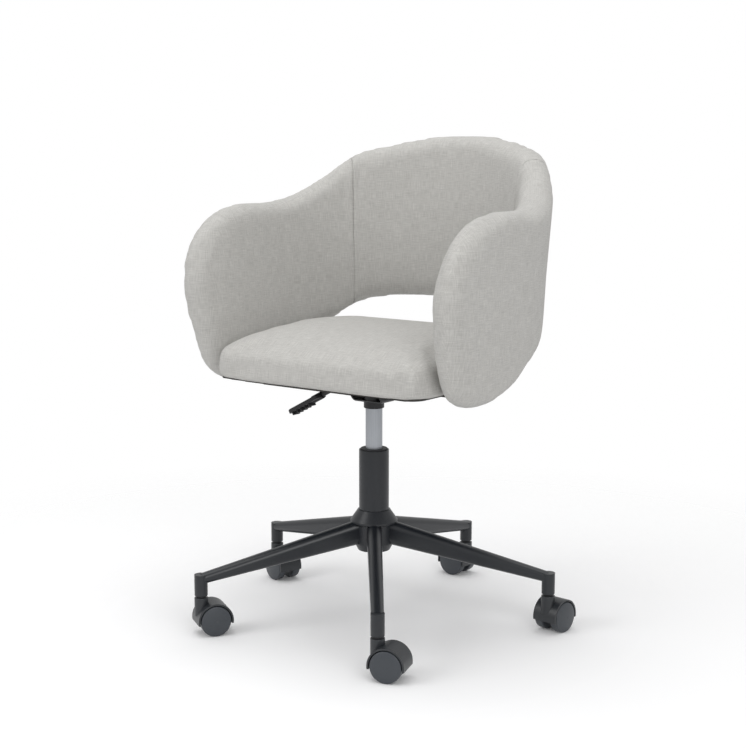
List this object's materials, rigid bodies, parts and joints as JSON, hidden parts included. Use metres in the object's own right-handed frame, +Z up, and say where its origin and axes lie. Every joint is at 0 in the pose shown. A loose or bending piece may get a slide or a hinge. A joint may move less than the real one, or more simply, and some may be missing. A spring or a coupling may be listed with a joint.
{
  "type": "swivel desk chair",
  "caption": "Upholstered tub chair with an open lower back, on a height-adjustable gas lift and a castered swivel base.",
  "frame": {"origin": "on the floor, on the swivel axis", "axes": "+Z up along the swivel axis; the sitter faces -Y; +X is the sitter's left"},
  "size_m": [0.6087, 0.59, 0.8102],
  "materials": {
    "base_coating": "satin anthracite powder coat",
    "black_plastic": "fine-grained black plastic",
    "bearing_steel": "ground steel",
    "bumper_rubber": "matte",
    "satin_chrome": "satin",
    "black_steel": "black powder coat",
    "zinc_steel": "zinc plated",
    "plywood": "birch plywood, stained black",
    "black_lining": "spun-bond lining",
    "linen_cloth": "light grey linen-look weave",
    "caster_plastic": "satin anthracite nylon",
    "wheel_nylon": "satin anthracite nylon"
  },
  "bodies": {
    "base": {"base_hub": "base_coating", "leg_1": "base_coating", "leg_2": "base_coating", "leg_3": "base_coating", "leg_4": "base_coating", "leg_5": "base_coating", "lift_tube": "base_coating", "guide_sleeve": "black_plastic", "lower_race": "bearing_steel", "bearing_balls": "bearing_steel", "ball_cage": "black_plastic", "caster_stem_1": "bearing_steel", "caster_stem_2": "bearing_steel", "caster_stem_3": "bearing_steel", "caster_stem_4": "bearing_steel", "caster_stem_5": "bearing_steel"},
    "lift_rod": {"piston_rod": "bearing_steel", "retaining_clip": "bearing_steel", "upper_race": "bearing_steel", "rubber_bumper": "bumper_rubber"},
    "seat": {"gas_cylinder": "satin_chrome", "taper_socket": "black_steel", "mechanism_plate": "black_steel", "mechanism_bolts": "zinc_steel", "tee_nuts": "zinc_steel", "seat_board": "plywood", "dust_cover": "black_lining", "seat_cushion": "linen_cloth", "tub_frame": "plywood", "frame_bolts": "zinc_steel", "barrel_nuts": "zinc_steel", "back_pad": "linen_cloth", "left_arm_pad": "linen_cloth", "right_arm_pad": "linen_cloth"},
    "height_lever": {"lever_rod": "black_steel", "lever_handle": "black_plastic", "lever_collars": "black_plastic"},
    "valve_pin": {"release_pin": "bearing_steel"},
    "caster_1": {"caster_body_1": "caster_plastic", "caster_axle_1": "bearing_steel"},
    "roller_1_left": {"wheel_1_left": "wheel_nylon"},
    "roller_1_right": {"wheel_1_right": "wheel_nylon"},
    "caster_2": {"caster_body_2": "caster_plastic", "caster_axle_2": "bearing_steel"},
    "roller_2_left": {"wheel_2_left": "wheel_nylon"},
    "roller_2_right": {"wheel_2_right": "wheel_nylon"},
    "caster_3": {"caster_body_3": "caster_plastic", "caster_axle_3": "bearing_steel"},
    "roller_3_left": {"wheel_3_left": "wheel_nylon"},
    "roller_3_right": {"wheel_3_right": "wheel_nylon"},
    "caster_4": {"caster_body_4": "caster_plastic", "caster_axle_4": "bearing_steel"},
    "roller_4_left": {"wheel_4_left": "wheel_nylon"},
    "roller_4_right": {"wheel_4_right": "wheel_nylon"},
    "caster_5": {"caster_body_5": "caster_plastic", "caster_axle_5": "bearing_steel"},
    "roller_5_left": {"wheel_5_left": "wheel_nylon"},
    "roller_5_right": {"wheel_5_right": "wheel_nylon"}
  },
  "joints": [
    {"name": "seat_swivel", "type": "hinge", "parent": "base", "child": "lift_rod", "pos_m": [0, 0, 0.12], "axis": [0, 0, 1], "continuous": true},
    {"name": "seat_height", "type": "slide", "parent": "lift_rod", "child": "seat", "axis": [0, 0, 1], "range_m": [-0.055, 0.04]},
    {"name": "lever_lift", "type": "hinge", "parent": "seat", "child": "height_lever", "pos_m": [-0.02975, 0, 0.40215], "axis": [0, 1, 0], "range_deg": [0, 8], "stiffness_Nm_per_rad": 2, "springref_deg": -11.46},
    {"name": "valve_press", "type": "slide", "parent": "seat", "child": "valve_pin", "axis": [0, 0, -1], "range_m": [0, 0.0045]},
    {"name": "caster_swivel_1", "type": "hinge", "parent": "base", "child": "caster_1", "pos_m": [0.18285, -0.23404, 0.0625], "axis": [0, 0, 1], "continuous": true},
    {"name": "wheel_spin_1_left", "type": "hinge", "parent": "caster_1", "child": "roller_1_left", "pos_m": [0.20092, -0.22817, 0.025], "axis": [-0.309, 0.9511, 0], "continuous": true},
    {"name": "wheel_spin_1_right", "type": "hinge", "parent": "caster_1", "child": "roller_1_right", "pos_m": [0.20092, -0.22817, 0.025], "axis": [-0.309, 0.9511, 0], "continuous": true},
    {"name": "caster_swivel_2", "type": "hinge", "parent": "base", "child": "caster_2", "pos_m": [0.27909, 0.10158, 0.0625], "axis": [0, 0, 1], "continuous": true},
    {"name": "wheel_spin_2_left", "type": "hinge", "parent": "caster_2", "child": "roller_2_left", "pos_m": [0.28108, 0.12048, 0.025], "axis": [-0.9945, 0.1045, 0], "continuous": true},
    {"name": "wheel_spin_2_right", "type": "hinge", "parent": "caster_2", "child": "roller_2_right", "pos_m": [0.28108, 0.12048, 0.025], "axis": [-0.9945, 0.1045, 0], "continuous": true},
    {"name": "caster_swivel_3", "type": "hinge", "parent": "base", "child": "caster_3", "pos_m": [-0.01036, 0.29682, 0.0625], "axis": [0, 0, 1], "continuous": true},
    {"name": "wheel_spin_3_left", "type": "hinge", "parent": "caster_3", "child": "roller_3_left", "pos_m": [-0.02932, 0.29814, 0.025], "axis": [-0.0698, -0.9976, 0], "continuous": true},
    {"name": "wheel_spin_3_right", "type": "hinge", "parent": "caster_3", "child": "roller_3_right", "pos_m": [-0.02932, 0.29814, 0.025], "axis": [-0.0698, -0.9976, 0], "continuous": true},
    {"name": "caster_swivel_4", "type": "hinge", "parent": "base", "child": "caster_4", "pos_m": [-0.28549, 0.08186, 0.0625], "axis": [0, 0, 1], "continuous": true},
    {"name": "wheel_spin_4_left", "type": "hinge", "parent": "caster_4", "child": "roller_4_left", "pos_m": [-0.26743, 0.07599, 0.025], "axis": [0.309, 0.9511, 0], "continuous": true},
    {"name": "wheel_spin_4_right", "type": "hinge", "parent": "caster_4", "child": "roller_4_right", "pos_m": [-0.26743, 0.07599, 0.025], "axis": [0.309, 0.9511, 0], "continuous": true},
    {"name": "caster_swivel_5", "type": "hinge", "parent": "base", "child": "caster_5", "pos_m": [-0.16608, -0.24622, 0.0625], "axis": [0, 0, 1], "continuous": true},
    {"name": "wheel_spin_5_left", "type": "hinge", "parent": "caster_5", "child": "roller_5_left", "pos_m": [-0.15601, -0.23011, 0.025], "axis": [-0.848, 0.5299, 0], "continuous": true},
    {"name": "wheel_spin_5_right", "type": "hinge", "parent": "caster_5", "child": "roller_5_right", "pos_m": [-0.15601, -0.23011, 0.025], "axis": [-0.848, 0.5299, 0], "continuous": true}
  ],
  "couplings": [
    {"joint": "valve_press", "follows": "lever_lift", "m_per_rad": 0.02975}
  ]
}
